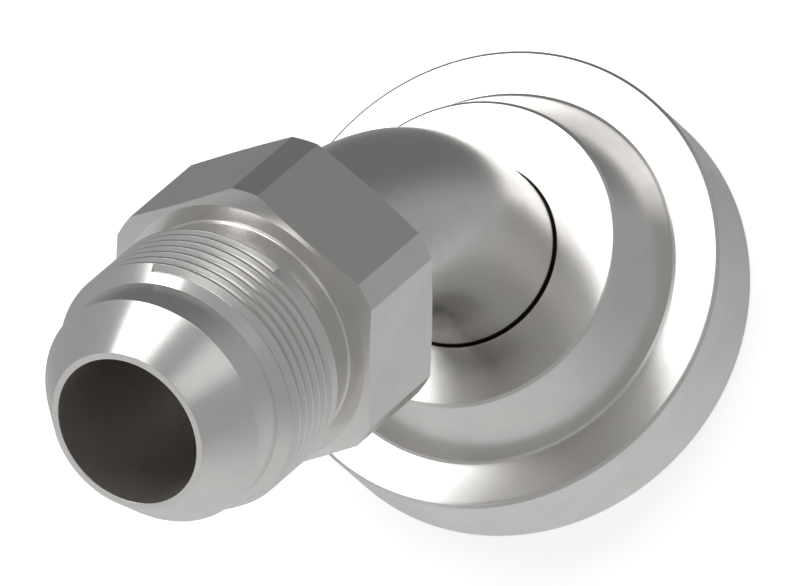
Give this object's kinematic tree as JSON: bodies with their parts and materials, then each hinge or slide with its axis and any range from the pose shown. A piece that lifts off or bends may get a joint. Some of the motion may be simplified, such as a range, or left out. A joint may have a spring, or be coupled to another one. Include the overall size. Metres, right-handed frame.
{
  "type": "flange elbow adapter",
  "caption": "Bent steel adapter that joins a clamp flange port with a face seal to a flared male tube fitting with a hexagon.",
  "frame": {"origin": "centre of the flange's sealing face", "axes": "+Z along the flange axis, away from the sealing face and into the part; +X in the plane of the bend, towards the side the outlet leans to; the part is symmetric about the XZ plane but for its thread"},
  "size_m": [0.0671, 0.0476, 0.0791],
  "materials": {
    "flange_steel": "satin bright plating",
    "tube_steel": "satin bright plating",
    "connector_steel": "satin bright plating",
    "braze": "dull, as it set",
    "seal_rubber": "matt black"
  },
  "bodies": {
    "root": {"flange_head": "flange_steel", "face_seal": "seal_rubber", "flange_braze_ring": "braze", "elbow_tube": "tube_steel", "outlet_braze_ring": "braze", "connector_body": "connector_steel"}
  },
  "joints": []
}
